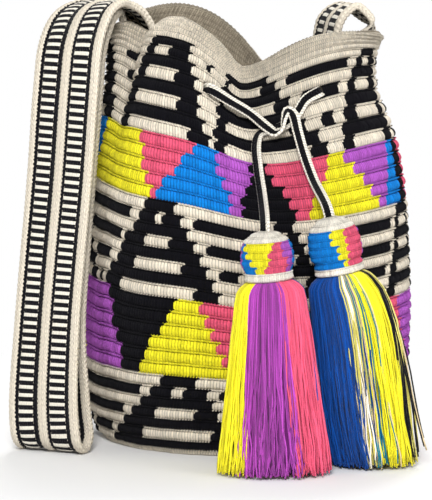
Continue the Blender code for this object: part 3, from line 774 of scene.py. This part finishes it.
def bandYarnFinish():
    kit = Kit("woven_band")
    place, across, along = kit.mapped("yarnMap")
    side = across + 0.008 * kit.wave(along * 2)
    ends = kit.wave(across * 21)
    white = kit.soft(abs(kit.fract(along) - 0.29 + 0.012 * ends), 0.238, 0.19)
    line = kit.within(side, ((-0.734, 0.046), (-0.201, 0.071), (0.17, 0.045), (0.7125, 0.0625)))
    rung = kit.within(across, ((-0.48, 0.208), (0.4325, 0.2175)))
    fibre = kit.grain(place, 26, 3, 4)
    fleck = kit.grain(place, 13, 2.6, 2)
    # painted light and shade: the cream border is painted lighter on the raised knit loops and darker in the
    # grooves between knit columns
    knit = kit.wave(along * 1.55 + 0.5 * kit.wave(across * 9))
    column = kit.soft(abs(kit.fract(across * 9) - 0.5), 0.5, 0.32)
    fluff = 0.62 + 0.4 * fibre + 0.36 * fleck
    cream = kit.scaled(yarns["cream"], fluff * (0.93 + 0.07 * knit) * (0.86 + 0.14 * column))
    ribs = kit.soft(abs(kit.fract(along * 4) - 0.5), 0.15, 0.4)
    dark = kit.scaled(yarns["black"], 0.7 + 2.2 * ribs * fleck)
    pale = kit.scaled(yarns["white"], 0.74 + 0.24 * fibre + 0.06 * ends + 0.14 * fleck)
    ladder = kit.blend(dark, pale, white)
    colour = kit.blend(kit.blend(cream, yarns["black"], line), ladder, rung)
    return kit.cloth(colour, fibre * 0.9 + knit * 0.35 + column * 0.4, 0.9, 0.0006, 0.06)


# drawstring

string = {
    "radius": 0.0023, "halfWidth": 0.0036, "halfThickness": 0.001, "step": 0.0011, "plait": 0.003,
    "crest": 0.0013, "gap": 0.0003, "bias": 0.26,
    # stitches that the braid passes on the inside and on the outside of the wall
    "inside": ((24, 29, 34, 39, 44, 50), (78, 83, 88, 93, 98, 102.5, 107), (-45, -40, -35, -30, -25, -20, -14)),
    "outside": ((60, 64, 68), (-63, -59, -55)),
    # x, z, height over its run in front and roll, on the way up to the first eyelet and down from the last
    "rise": ((0.0088, 0.172, 0.006, 40), (0.0062, 0.19, 0.002, 40), (0.0052, 0.204, 0, 42),
        (0.0075, 0.2105, 0, 50), (0.015, 0.2135, 0, 60), (0.0235, 0.2165, 0, 30), (0.031, 0.2235, 0, -16),
        (0.0375, 0.233, 0, -16)),
    "fall": ((-0.012, 0.232, 0, 24), (0.001, 0.224, 0, 28), (0.0125, 0.215, 0, 30), (0.0175, 0.2118, 0, 50),
        (0.0218, 0.214, 0, 78), (0.0232, 0.2205, 0, 70), (0.0252, 0.2262, 0, 34), (0.0288, 0.224, 0, 22),
        (0.0318, 0.213, -0.001, 24), (0.036, 0.198, -0.002, 24)),
    # half of the section, from one plied edge to the other
    "half": [(1, 0), (0.95, 0.75), (0.8, 1.15), (0.66, 1.05), (0.56, 0.55), (0.36, 0.88), (0.12, 0.72),
        (-0.12, 0.88), (-0.36, 0.72), (-0.56, 0.55), (-0.66, 1.05), (-0.8, 1.15), (-0.95, 0.75)],
}


def onFront(x, z, lift, roll=0.0):
    near = np.argmin((frontPoints[:, 0] - x) ** 2 + (frontPoints[:, 2] - z) ** 2)
    return (x, frontPoints[near, 1] - string["crest"] - lift, z, roll)


def wallSpots(stitches, lifts):
    return [(*wallSpot(stitch, body["eyeletRound"] + 0.5, lift), 0.0) for stitch, lift in zip(stitches, lifts)]


def throughEyelet(index, way):
    # way is 1 from the inside out, -1 from the outside in
    lifts = [outsideLift * 0.8, -body["thickness"] / 2, insideLift * 0.9][::-way]
    return wallSpots([body["eyelets"][index]] * 3, lifts)


def alongWall(stitches, lift):
    return wallSpots(stitches, [lift] * len(stitches))


def stringRoute():
    # x, y, z and roll of the flat braid in degrees
    behind = string["gap"] + string["radius"] + 0.0014
    before = behind + 2 * string["radius"] + 2 * string["gap"]
    left, right = (np.array(tassels[side]["top"]) for side in ("left", "right"))
    inside, outside = string["inside"], string["outside"]
    return [(*(left + np.array([0, 0, -0.006])), 36.0), (*(left + np.array([0, 0, 0.004])), 38.0),
            *[onFront(x, z, behind + more, roll) for x, z, more, roll in string["rise"]],
            *throughEyelet(1, -1), *alongWall(inside[0], insideLift), *throughEyelet(2, 1),
            *alongWall(outside[0], outsideLift), *throughEyelet(3, -1), *alongWall(inside[1], insideLift),
            *throughEyelet(4, 1), *alongWall(outside[1], outsideLift), *throughEyelet(5, -1),
            *alongWall(inside[2], insideLift - 0.0012), *throughEyelet(0, 1),
            *[onFront(x, z, before + more, roll) for x, z, more, roll in string["fall"]],
            onFront(0.0415, 0.183, behind + 0.005, 24.0), (*(right + np.array([-0.0012, 0, 0.005])), 22.0),
            (*(right + np.array([0.0012, 0, -0.006])), 20.0)]


def stringPiece(material):
    routed, length = curveLine(stringRoute(), string["step"], 0.0)
    line, roll = routed[:, :3], np.radians(routed[:, 3:4])
    tangent = unit(np.gradient(line, axis=0))
    outward = unit(line * np.array([1, 1, 0]))
    ahead = (line[:, 1] < -0.055) & (np.abs(line[:, 0]) < 0.06)
    outward[ahead] = (0.0, -1.0, 0.05)
    faceWay = squared(outward, tangent)
    for _ in range(40):
        faceWay = (faceWay + np.roll(faceWay, 1, axis=0) + np.roll(faceWay, -1, axis=0)) / 3
        faceWay[0], faceWay[-1] = outward[0], outward[-1]
        faceWay = squared(faceWay, tangent)
    faceWay = unit(faceWay)
    widthWay = np.cross(faceWay, tangent)
    faceWay, widthWay = (faceWay * np.cos(roll) + widthWay * np.sin(roll),
                         widthWay * np.cos(roll) - faceWay * np.sin(roll))
    section = np.array(string["half"] + [(-across, -up) for across, up in string["half"]])
    across, up = section[:, 0], section[:, 1]
    run = np.arange(len(line)) * string["step"] / string["plait"]
    depth = np.where(np.abs(across) > 0.6, 0.16, 0.1)
    plied = depth * np.cos(2 * math.pi * (run[:, None] - np.sign(up * across) * 0.25))
    wide = 1 + 0.035 * np.cos(2 * math.pi * (run[:, None] + np.where(across > 0, 0.0, 0.5)))
    points = (line[:, None] + widthWay[:, None] * (string["halfWidth"] * across * wide)[:, :, None]
              + faceWay[:, None] * (string["halfThickness"] * up * (1 + plied))[:, :, None])

    # the pale edge that faces the viewer is the broad one on both hanging ends
    middle = np.linspace(0, 1, len(line))
    bias = string["bias"] * np.clip(3 * (2 * (3 * middle ** 2 - 2 * middle ** 3) - 1), -1, 1)
    print("drawstring length", round(float(length), 3))
    return bandPiece("drawstring_braid", points, across, run, bias, material, "drawstring"), line, length


def braidFinish():
    kit = Kit("flat_braid")
    place, across, along = kit.mapped("yarnMap")
    side = abs(across)
    fibre = kit.grain(place, 6, 3, 3)
    edge = kit.soft(side + 0.02 * kit.wave(along * 2), 0.555, 0.605)
    pick = kit.soft(kit.wave(along * 1.6 - side * 1.1), -0.95, 0.1)
    weave = kit.soft(kit.wave(along + across * 1.2), 0.2, 1.0)
    # painted light and shade: the pale edge is painted darker in the grooves between its picks, and the black
    # face lighter on the raised weave
    pale = kit.scaled(yarns["white"], (0.62 + 0.34 * pick) * (0.84 + 0.3 * fibre))
    dark = kit.scaled(yarns["black"], 0.7 + 1.3 * weave * fibre)
    return kit.cloth(kit.blend(dark, pale, edge), pick * 0.7 + weave * 0.5 + fibre * 0.6, 0.9, 0.0005, 0.05)


# tassels

tassels = {
    "left": {"top": (0.01, -0.1245, 0.1527), "foot": (0.0158, -0.144, 0.0008), "lean": 5,
        "spread": (0.0352, 0.024), "shorter": 0.006, "bow": 0, "wider": 0,
        # colour, right end at the top of the crown band and at its foot, in degrees from the front
        "crown": [("purple", -76, -76), ("blue", -60, -31), ("yellow", 12, -8), ("pink", 33, 50),
        ("purple", 76, 76), ("blue", 100, 110), ("yellow", 150, 135), ("pink", 205, 220)],
        "skirt": [("yellow", -40), ("plum", 23), ("pink", 84), ("royal", 130), ("teal", 175), ("yellow", 270)],
        "loose": []},
    "right": {"top": (0.051, -0.1175, 0.161), "foot": (0.08, -0.113, 0.0008), "lean": 11,
        "spread": (0.027, 0.023), "shorter": 0.001, "bow": 0.004, "wider": 0.0036,
        "crown": [("blue", -9, 10), ("yellow", 32, 29), ("pink", 90, 84), ("purple", 120, 130),
        ("blue", 160, 150), ("yellow", 200, 215), ("pink", 245, 235)],
        "skirt": [("royal", -5), ("mix", 19), ("yellow", 61), ("black", 73), ("straw", 92), ("black", 112),
        ("beige", 150), ("pink", 215), ("royal", 270)],
        # angle, reach beyond the skirt, where it ends, colour
        "loose": [(74, 1.16, 0.93, "black"), (80, 1.24, 0.9, "black"), (76, 1.2, 0.95, "black"),
        (85, 1.14, 0.92, "straw"), (68, 1.1, 0.95, "black"), (88, 1.36, 0.86, "black"),
        (82, 1.3, 0.92, "beige")]},
}
crown = {
    "stitches": 32, "relief": 0.45, "length": 0.038,
    # drop from the crown's top and radius, outside and inside
    "profile": [(0, 0.0032), (0.0012, 0.0072), (0.0036, 0.0106), (0.006, 0.0134), (0.009, 0.0152),
        (0.013, 0.0164), (0.018, 0.017), (0.023, 0.0171), (0.027, 0.0165), (0.0298, 0.015),
        (0.032, 0.0158), (0.0345, 0.0154), (0.0365, 0.0158), (0.0378, 0.015)],
    "inner": ((0.0378, 0.014), (0.0376, 0.0127), (0.03, 0.0127), (0.0235, 0.0138), (0.014, 0.0137),
        (0.0072, 0.01), (0.003, 0.0032)),
    "rounds": {"left": [0, 0.0033, 0.0068, 0.01165, 0.0165, 0.02135, 0.0262, 0.0312],
        "right": [0, 0.004, 0.008, 0.0128, 0.0176, 0.0224, 0.0272, 0.032, 0.0368]},
}


def tasselAxes(side):
    tilt = math.radians(tassels[side]["lean"])
    down = np.array([math.sin(tilt), 0.0, -math.cos(tilt)])
    across = np.array([math.cos(tilt), 0.0, math.sin(tilt)])
    return across, np.array([0.0, -1.0, 0.0]), down


def markColour(marks, angle, share):
    start = marks[-1][1] - 360
    angle = (angle - start) % 360 + start
    for colour, high, low in marks:
        if angle < high + (low - high) * share:
            return colour
    return marks[-1][0]


def crownPiece(side, material):
    across, fore, down = tasselAxes(side)
    top = np.array(tassels[side]["top"])
    count = crown["stitches"] * perStitch
    turns = 2 * math.pi * np.arange(count) / count
    around = np.cos(turns)[:, None] * across + np.sin(turns)[:, None] * fore
    rounds = crown["rounds"][side]
    lastRound = len(rounds) - 2
    stretch = crown["length"] / (crown["length"] - tassels[side]["shorter"])
    rings, work = [], []
    for index in range(len(rounds) - 1):
        for step, settings in enumerate(stitchWork["steps"]):
            drop = rounds[index] + (rounds[index + 1] - rounds[index]) * settings[0]
            lift = outerRow(index, step, np.arange(count) / perStitch, False) * crown["relief"]
            radius = float(smooth(crown["profile"], drop * stretch)) + lift - 0.0006
            rings.append(top + drop * down + radius[:, None] * around)
            work.append((index, step))
    outerCount = len(rings)
    for drop, radius in crown["inner"]:
        rings.append(top + drop / stretch * down + radius * around)
        work.append((lastRound, 5))
    rowMap = np.array([index + stitchWork["steps"][step][0] for index, step in work])
    mesh, cells = gridMesh("crown_" + side, np.array(rings), stitchMap(rowMap, 1.5), closeAlong=True)
    colours = np.zeros((len(cells), 3))
    for face, (row, column) in enumerate(cells):
        index, step = work[min(row, len(work) - 1)]
        shift = stitchWork["edgeShift"][step]
        angle = 90 - (math.floor(column / perStitch + 0.125 + shift) + 0.5) * 360 / crown["stitches"] + 4
        banded = row < outerCount and 2 <= index <= lastRound - 1
        marks = tassels[side]["crown"]
        colours[face] = yarns[markColour(marks, angle, (index - 2) / (lastRound - 3)) if banded else "white"]
    paint(mesh, "yarn", colours)
    paint(mesh, "yarnAbove", colours)
    return addPiece("crown_" + side, mesh, material, "tassel_cap_" + side)


def skirtPlace(side, angle, drop, share, out):
    # under the crown by the drop along its axis, then by the share of the way from the neck to the foot
    across, fore, down = tasselAxes(side)
    settings = tassels[side]
    foot = np.array(settings["foot"])
    wide, deep = settings["spread"]
    start = np.array(settings["top"]) - down * settings["shorter"]
    turn = math.radians(90 - angle)
    if share <= 0:
        radius = float(smooth(skirt["neck"], drop)) * out
        return start + down * drop + radius * (math.cos(turn) * across + math.sin(turn) * fore)
    neckDrop, neckRadius = skirt["neck"][-1]
    level = unit(across * (1 - share) + np.array([1.0, 0.0, 0.0]) * share)
    swelling = math.sin(math.pi * share ** 0.7)
    neck = start + down * neckDrop + across * (settings["bow"] * swelling)
    reachX = (neckRadius + (wide - neckRadius) * share + settings["wider"] * swelling) * out
    reachY = (neckRadius + (deep - neckRadius) * share) * out
    return neck + (foot - neck) * share + reachX * math.cos(turn) * level + reachY * math.sin(turn) * fore


def skirtColour(side, angle, roll):
    marks = tassels[side]["skirt"]
    angle = (angle + 90) % 360 - 90
    if roll[0] < 0.2:
        angle = angle + (roll[1] - 0.5) * 34
    for colour, end in marks:
        if angle < end:
            if colour == "mix":
                return ("teal", "beige", "white", "straw", "beige", "royal", "straw")[int(roll[1] * 7)]
            return colour
    return marks[-1][0]


def strandFinish():
    kit = Kit("tassel_strands")
    place = kit.here()
    fine = kit.noise(place, 1500.0, 3.0)
    twist = kit.noise(kit.stretched(place, 1.0, 1.0, 1.6), 1000.0, 1.0)
    amount = 0.72 + 0.34 * twist + 0.22 * fine
    return kit.cloth(kit.scaled(kit.attribute("yarn"), amount), twist + fine, 0.85, 0.0003, 0.12)


skirt = {
    # strands, reach, spread of the reach
    "layers": ((430, 0.975, 0.075), (240, 0.86, 0.06), (110, 0.72, 0.06)),
    "radius": 0.00052, "drops": (0.034, 0.0375, 0.039, 0.0412, 0.0445),
    "shares": (0.05, 0.13, 0.24, 0.36, 0.48, 0.6, 0.72, 0.84, 0.94, 1), "clumps": 72,
    # drop under the crown's top and radius
    "neck": [(0.03, 0.0098), (0.0372, 0.0104), (0.0388, 0.0148), (0.0414, 0.0188), (0.046, 0.022)],
    "heart": {"columns": 72, "drops": ((0.033, 0.93), (0.0372, 0.93), (0.039, 0.86), (0.042, 0.84)),
        "shares": (0.03, 0.15, 0.3, 0.5, 0.7, 0.85, 0.955)},
}


def curveOf(name, lines, radius, roundness):
    curve = bpy.data.curves.new(name, "CURVE")
    curve.dimensions = "3D"
    curve.bevel_depth = radius
    curve.bevel_resolution = roundness
    for line in lines:
        spline = curve.splines.new("POLY")
        spline.points.add(len(line) - 1)
        for spot, point in zip(spline.points, line):
            spot.co = (*point, 1.0)
    return curve


def skirtPiece(side, material):
    rolls = np.random.RandomState(11 if side == "left" else 23)
    clumps = rolls.uniform(-1, 1, (skirt["clumps"], 3))
    strands = []
    for count, out, jitter in skirt["layers"]:
        for index in range(count):
            angle = (index + rolls.uniform(-0.5, 0.5)) * 360.0 / count
            roll = rolls.uniform(0, 1, 6)
            end = 0.955 + 0.04 * roll[4] - 0.05 * (roll[5] < 0.06)
            colour = skirtColour(side, angle + 5 * (roll[3] - 0.5), roll)
            strands.append((angle, out + jitter * (roll[2] - 0.5), end, 1.0, colour, roll))
    for angle, flare, end, colour in tassels[side]["loose"]:
        strands.append((angle, 0.99, end, flare, colour, rolls.uniform(0, 1, 6)))
    lines, colours = [], []
    for angle, reach, end, flare, colour, roll in strands:
        clump = clumps[int(angle / 5) % skirt["clumps"]]
        line = []
        stations = [(drop, 0.0) for drop in skirt["drops"]] + [(0.0, end * share) for share in skirt["shares"]]
        for drop, share in stations:
            wave = 3.2 * math.sin(share * 8 + roll[0] * 6) + 1.6 * math.sin(share * 21 + roll[3] * 6)
            sway = (5.0 * clump[0] + wave) * share
            swell = 1 + 0.035 * math.sin(share * 7 + roll[1] * 6) * min(1, share * 4) + 0.05 * clump[1] * share
            swell = swell * (1 + (flare - 1) * max(0.0, share - 0.25) / 0.75)
            point = skirtPlace(side, angle + sway, drop, share, reach * swell)
            point[2] = max(point[2], 0.001)
            line.append(point)
        lines.append(line)
        tone = 0.52 + 0.75 * roll[4] if colour in ("plum", "royal") else 0.74 + 0.48 * roll[4]
        colours.append(np.array(yarns[colour]) * tone)
    curve = curveOf("strandLines", lines, skirt["radius"], 0)
    holder = addObject("strandLines", curve)
    deps = bpy.context.evaluated_depsgraph_get()
    mesh = bpy.data.meshes.new_from_object(holder.evaluated_get(deps), depsgraph=deps)
    bpy.data.objects.remove(holder)
    bpy.data.curves.remove(curve)
    # four verts to each station of a strand
    owner = cornerVerts(mesh)[:, 0] // (4 * len(lines[0]))
    paint(mesh, "yarn", np.array(colours)[owner])
    mesh.materials.clear()
    with Editing(mesh) as bm:
        tint = bm.loops.layers.float_color["yarn"]
        for tip in bmesh.ops.holes_fill(bm, edges=openEdges(bm), sides=4)["faces"]:
            for corner in tip.loops:
                corner[tint] = corner.link_loop_radial_next[tint]
    print("yarn_" + side, len(strands), "strands")
    return addPiece("yarn_" + side, mesh, material, "tassel_yarn_" + side, merge=False)


def skirtCore(side, material):
    heart = skirt["heart"]
    count = heart["columns"]
    angles = [360 * step / count for step in range(count)]
    rings = [[skirtPlace(side, angle, drop, 0.0, out) for angle in angles] for drop, out in heart["drops"]]
    rings += [[skirtPlace(side, angle, 0, share, 0.8 + 0.03 * (step % 2)) for step, angle in enumerate(angles)]
              for share in heart["shares"]]

    def place(cornerRows, cornerColumns):
        return np.stack([cornerColumns, cornerRows], axis=-1)

    mesh, cells = gridMesh("yarn_heart_" + side, np.array(rings), place)
    rolls = np.random.RandomState(5)
    colours = [yarns[skirtColour(side, angles[column], rolls.uniform(0.17, 1, 2))] for column in cells[:, 1]]
    # painted shade: the heart's yarn colours are painted at 0.45 of their own, for the shade inside the skirt
    paint(mesh, "yarn", np.array(colours) * 0.45)
    closeRims(mesh)
    return addPiece("yarn_heart_" + side, mesh, material, "tassel_yarn_" + side)


def heartFinish():
    kit = Kit("skirt_heart")
    fibre = kit.noise(kit.stretched(kit.here(), 1.0, 1.0, 0.2), 600.0, 3.0)
    return kit.cloth(kit.scaled(kit.attribute("yarn"), 0.6 + 0.7 * fibre), fibre, 0.9, 0.0005, 0.1)


# sewing and binding yarn

sewn = {
    "yarn": 0.00085, "span": 10, "row": 4.6, "reach": 0.45, "swings": 11, "twists": 30, "twist": 0.0006,
    "steps": 120,
    "neck": {"yarn": 0.0005, "radius": 0.0117, "drop": 0.0314, "height": 0.0048, "turns": 6, "steps": 240},
}


def yarnTube(name, lines, radius, material, node):
    curve = curveOf(name, lines, radius, 2)
    curve.use_fill_caps = True
    curve.materials.append(material)
    piece = addObject(name, curve)
    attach(piece, "root")
    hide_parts(node)
    return piece


def strapSewing(side, name, material):
    # two strands twisted together, stitched up and down over the strap's end
    lift = -(body["thickness"] + 2 * strap["seatGap"] + strap["toMiddle"] + strap["halfThickness"] * 1.15
             + 0.0016)
    lines = []
    for strand in range(2):
        line = []
        for share in np.arange(sewn["steps"] + 1) / sewn["steps"]:
            turn = math.pi * (share * 2 * sewn["twists"] + strand)
            swing = sewn["reach"] * math.sin(share * 2 * math.pi * sewn["swings"])
            stitch = strap["seams"][side] + (share - 0.5) * sewn["span"]
            row = sewn["row"] + swing + 0.07 * math.sin(turn)
            line.append(wallSpot(stitch, row, lift - sewn["twist"] * math.cos(turn)))
        lines.append(line)
    return yarnTube(name, lines, sewn["yarn"], material, "strap_seam_" + ("left" if side < 0 else "right"))


def neckBinding(side, material):
    across, fore, down = tasselAxes(side)
    neck = sewn["neck"]
    start = np.array(tassels[side]["top"]) - tassels[side]["shorter"] * down
    line = []
    for share in np.arange(neck["steps"] + 1) / neck["steps"]:
        turn = share * neck["turns"] * 2 * math.pi
        out = neck["radius"] * (math.cos(turn) * across + math.sin(turn) * fore)
        line.append(start + (neck["drop"] + neck["height"] * share) * down + out)
    return yarnTube("neck_wrap_" + side, [line], neck["yarn"], material, "tassel_binding_" + side)


def sewingFinish():
    kit = Kit("sewing_yarn")
    fibre = kit.noise(kit.here(), 1100.0, 3.0)
    return kit.cloth(kit.scaled(yarns["cream"], 0.75 + 0.4 * fibre), fibre, 0.92, 0.0004, 0.12)


# floor and light

studio = {
    # the floor turns from matt to pure white between two distances from the bag
    "floor": 0.8, "fadeFrom": 0.14, "fadeTo": 0.42, "world": 0.5,
    # name, place, aim, size, power
    "lamps": (("key", (-0.15, -2.1, 1.4), (0, 0, 0.12), 0.7, 50),
        ("fill", (1.6, -1.3, 0.8), (0, 0, 0.12), 1.2, 13), ("back", (0.2, 1.2, 1.7), (0, 0, 0.15), 1, 26)),
}


def addFloor():
    mesh = bpy.data.meshes.new("floor")
    with Editing(mesh) as bm:
        bmesh.ops.create_grid(bm, x_segments=8, y_segments=8, size=4.0)
    kit = Kit("floor_white")
    paths = kit.nodes.new("ShaderNodeLightPath").outputs
    seen = sum(Wire(kit, paths["Is " + kind + " Ray"]) for kind in ("Camera", "Glossy", "Transmission"))
    away = kit.node("ShaderNodeVectorMath", {"operation": "LENGTH"}, {0: kit.here()}, 1)
    white = kit.soft(away, studio["fadeFrom"], studio["fadeTo"])
    matt = kit.node("ShaderNodeBsdfDiffuse", None, {"Color": (studio["floor"],) * 3})
    glow = kit.node("ShaderNodeEmission", None, {"Color": (1, 1, 1), "Strength": 1.0})
    shown = kit.maths("MINIMUM", seen, 1.0) * white
    mixed = kit.node("ShaderNodeMixShader", None, {0: shown, 1: matt, 2: glow})
    kit.node("ShaderNodeOutputMaterial", None, {"Surface": mixed})
    mesh.materials.append(kit.material)
    floor = addObject("floor", mesh)


def addWorld():
    world = bpy.data.worlds.new("studio")
    bpy.context.scene.world = world
    world.use_nodes = True
    tree = world.node_tree
    tree.nodes.clear()
    paths = tree.nodes.new("ShaderNodeLightPath")
    mixed = tree.nodes.new("ShaderNodeMixShader")
    output = tree.nodes.new("ShaderNodeOutputWorld")
    tree.links.new(paths.outputs["Is Camera Ray"], mixed.inputs[0])
    # soft light on the bag, and pure white where the camera sees the world itself
    for socket, strength in ((1, studio["world"]), (2, 1.0)):
        shine = tree.nodes.new("ShaderNodeBackground")
        shine.inputs[0].default_value = (1, 1, 1, 1)
        shine.inputs[1].default_value = strength
        tree.links.new(shine.outputs[0], mixed.inputs[socket])
    tree.links.new(mixed.outputs[0], output.inputs[0])


addCamera()
addWorld()
addFloor()
for settings in studio["lamps"]:
    addLamp(*settings)
print("camera, floor and lamps set")
bpy.context.scene.view_settings.view_transform = "Standard"

outsideLift = string["crest"] + string["gap"] + string["radius"] + 0.0008
insideLift = -(body["thickness"] + string["gap"] + string["radius"] + 0.0014)
# the front of the wall, for what lies on it
frontPoints = wallGrid(np.linspace(0, 36, 109), [np.linspace(-45, 45, 181)] * 109)[0].reshape(-1, 3)
braid, braidLine, braidLength = stringPiece(braidFinish())

# the second number is the strength of the painted shade in the grooves; the crown's smaller stitches get less
# of it
crochet = wallYarn("crochet_cotton", 1.0)
crownCotton = wallYarn("crown_cotton", 0.38)
for name, first, last in (("wall_rim", 0, 10), ("wall_upper", 10, 21), ("wall_lower", 21, 32),
                          ("wall_base", 32, body["rounds"])):
    wallPiece(name, first, last, crochet)
strapPiece(bandYarnFinish())

strands = strandFinish()
heart = heartFinish()
sewing = sewingFinish()
onString = []
for side in ("left", "right"):
    cap, wrap = crownPiece(side, crownCotton), neckBinding(side, sewing)
    onString += [cap, wrap]
    for piece in (skirtCore(side, heart), skirtPiece(side, strands)):
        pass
strapSewing(-1, "sewing_left", sewing)
strapSewing(1, "sewing_right", sewing)
